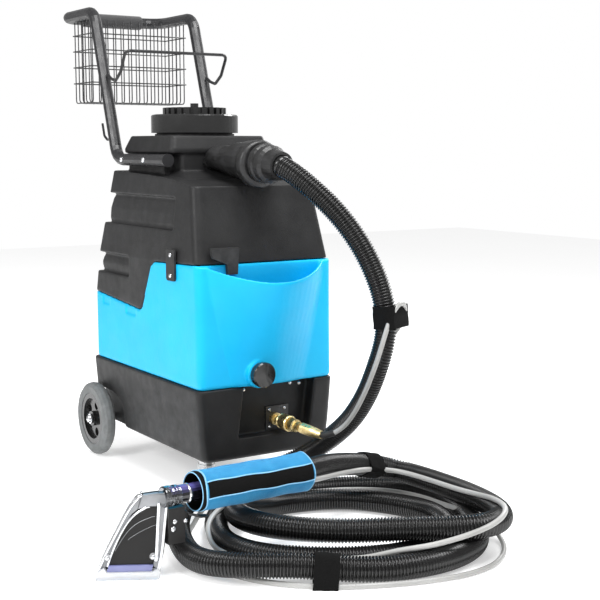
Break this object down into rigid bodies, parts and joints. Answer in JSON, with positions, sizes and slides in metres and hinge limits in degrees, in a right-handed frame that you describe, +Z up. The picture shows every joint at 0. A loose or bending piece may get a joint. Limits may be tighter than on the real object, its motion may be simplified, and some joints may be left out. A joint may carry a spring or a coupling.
{
  "type": "carpet cleaner machine",
  "caption": "Wheeled carpet extractor with stacked solution and recovery tanks, screw lid, tube handle, wire basket, vacuum and solution hoses and a hand tool.",
  "frame": {"origin": "on the floor, under the middle of the machine without its hoses and tool", "axes": "+Z up, -Y the front with the hose port, +X the machine's side with the brass coupler"},
  "size_m": [0.8504, 1.513, 1.096],
  "materials": {
    "black_plastic": "moulded, finely pebbled, satin",
    "gloss_black": "moulded, glossy",
    "blue_tank": "moulded, smooth, slightly translucent",
    "black_steel": "powder coated, semi-gloss",
    "bright_steel": "bright plated",
    "brass": "machined, lightly tarnished",
    "rubber": "matte",
    "tyre": "grey, non-marking, matte",
    "vacuum_hose": "corrugated, satin",
    "solution_hose": "smooth grey sheath",
    "clear_plastic": "clear moulded",
    "blue_fabric": "neoprene with piped edges",
    "red_plastic": "moulded rocker"
  },
  "bodies": {
    "machine": {"base_pan": "black_plastic", "fitting_plate": "black_steel", "bulkhead_fitting": "brass", "axle": "bright_steel", "axle_nut_left": "bright_steel", "axle_nut_right": "bright_steel", "caster_plate_left": "bright_steel", "caster_plate_right": "bright_steel", "vacuum_motor": "black_plastic", "pump": "black_plastic", "heater": "bright_steel", "switch_plate": "black_steel", "power_inlet": "black_plastic", "solution_tank": "blue_tank", "recovery_tank": "black_plastic", "lid_collar": "black_plastic", "air_pipe": "black_plastic", "strap_left": "rubber", "strap_right": "rubber", "strap_front": "rubber", "handle_frame": "black_steel", "handle_grip": "rubber", "hose_rack": "black_steel", "cord_hook_left": "black_steel", "cord_hook_right": "black_steel", "basket_front": "black_steel", "basket_rear": "black_steel", "basket_left": "black_steel", "basket_right": "black_steel", "basket_floor": "black_steel", "hose_port": "rubber", "hose_cuff": "rubber", "vacuum_hose": "vacuum_hose", "vacuum_hose_end": "vacuum_hose", "hose_coil": "vacuum_hose", "solution_hose": "solution_hose", "coupler_body": "brass", "tool_tube": "bright_steel", "tool_head": "clear_plastic", "tool_valve": "black_plastic", "tool_wrap": "blue_fabric"},
    "wheel_left": {"tyre_left": "tyre", "hub_left": "black_plastic"},
    "wheel_right": {"tyre_right": "tyre", "hub_right": "black_plastic"},
    "caster_left": {"caster_fork_left": "bright_steel"},
    "caster_roller_left": {"caster_wheel_left": "rubber"},
    "caster_right": {"caster_fork_right": "bright_steel"},
    "caster_roller_right": {"caster_wheel_right": "rubber"},
    "fan": {"motor_fan": "bright_steel"},
    "rocker_a": {"rocker_1": "red_plastic"},
    "rocker_b": {"rocker_2": "red_plastic"},
    "rocker_c": {"rocker_3": "red_plastic"},
    "drain_seal": {"drain_seal": "rubber"},
    "drain_cap": {"drain_cap": "gloss_black"},
    "lid_gasket": {"lid_gasket": "rubber"},
    "lid_cap": {"lid_cap": "gloss_black"},
    "float": {"float_ring": "clear_plastic"},
    "coupler_sleeve": {"coupler_sleeve": "brass"},
    "trigger": {"tool_trigger": "black_plastic"}
  },
  "joints": [
    {"name": "wheel_spin_left", "type": "hinge", "parent": "machine", "child": "wheel_left", "pos_m": [-0.186, 0.1424, 0.0892], "axis": [1, 0, 0], "continuous": true},
    {"name": "caster_swivel_left", "type": "hinge", "parent": "machine", "child": "caster_left", "pos_m": [-0.125, -0.3112, 0.065], "axis": [0, 0, 1], "continuous": true},
    {"name": "caster_roll_left", "type": "hinge", "parent": "caster_left", "child": "caster_roller_left", "pos_m": [-0.125, -0.2912, 0.025], "axis": [1, 0, 0], "continuous": true},
    {"name": "wheel_spin_right", "type": "hinge", "parent": "machine", "child": "wheel_right", "pos_m": [0.186, 0.1424, 0.0892], "axis": [1, 0, 0], "continuous": true},
    {"name": "caster_swivel_right", "type": "hinge", "parent": "machine", "child": "caster_right", "pos_m": [0.125, -0.3112, 0.065], "axis": [0, 0, 1], "continuous": true},
    {"name": "caster_roll_right", "type": "hinge", "parent": "caster_right", "child": "caster_roller_right", "pos_m": [0.125, -0.2912, 0.025], "axis": [1, 0, 0], "continuous": true},
    {"name": "fan_spin", "type": "hinge", "parent": "machine", "child": "fan", "pos_m": [0.04, -0.0262, 0.1175], "axis": [0, 0, 1], "continuous": true},
    {"name": "rocker_tip_a", "type": "hinge", "parent": "machine", "child": "rocker_a", "pos_m": [0, 0.1918, 0.201], "axis": [-1, 0, 0], "range_deg": [0, 12]},
    {"name": "rocker_tip_b", "type": "hinge", "parent": "machine", "child": "rocker_b", "pos_m": [0.0425, 0.1918, 0.201], "axis": [-1, 0, 0], "range_deg": [0, 12]},
    {"name": "rocker_tip_c", "type": "hinge", "parent": "machine", "child": "rocker_c", "pos_m": [0.085, 0.1918, 0.201], "axis": [-1, 0, 0], "range_deg": [0, 12]},
    {"name": "drain_pull", "type": "slide", "parent": "machine", "child": "drain_seal", "axis": [0, -1, 0], "range_m": [0, 0.03]},
    {"name": "drain_turn", "type": "hinge", "parent": "drain_seal", "child": "drain_cap", "pos_m": [-0.035, -0.4022, 0.269], "axis": [0, -1, 0], "range_deg": [0, 540]},
    {"name": "lid_lift", "type": "slide", "parent": "machine", "child": "lid_gasket", "axis": [0, 0, 1], "range_m": [0, 0.08]},
    {"name": "lid_turn", "type": "hinge", "parent": "lid_gasket", "child": "lid_cap", "pos_m": [0, -0.0382, 0.82], "axis": [0, 0, 1], "range_deg": [0, 540]},
    {"name": "float_rise", "type": "slide", "parent": "machine", "child": "float", "axis": [0, 0, 1], "range_m": [0, 0.1]},
    {"name": "sleeve_slide", "type": "slide", "parent": "machine", "child": "coupler_sleeve", "axis": [0, -1, 0], "range_m": [0, 0.005], "stiffness_N_per_m": 900, "springref_m": -0.004},
    {"name": "trigger_squeeze", "type": "hinge", "parent": "machine", "child": "trigger", "pos_m": [-0.393, -0.7222, 0.109], "axis": [0, -1, 0], "range_deg": [0, 12], "stiffness_Nm_per_rad": 0.5, "springref_deg": -14.32}
  ]
}
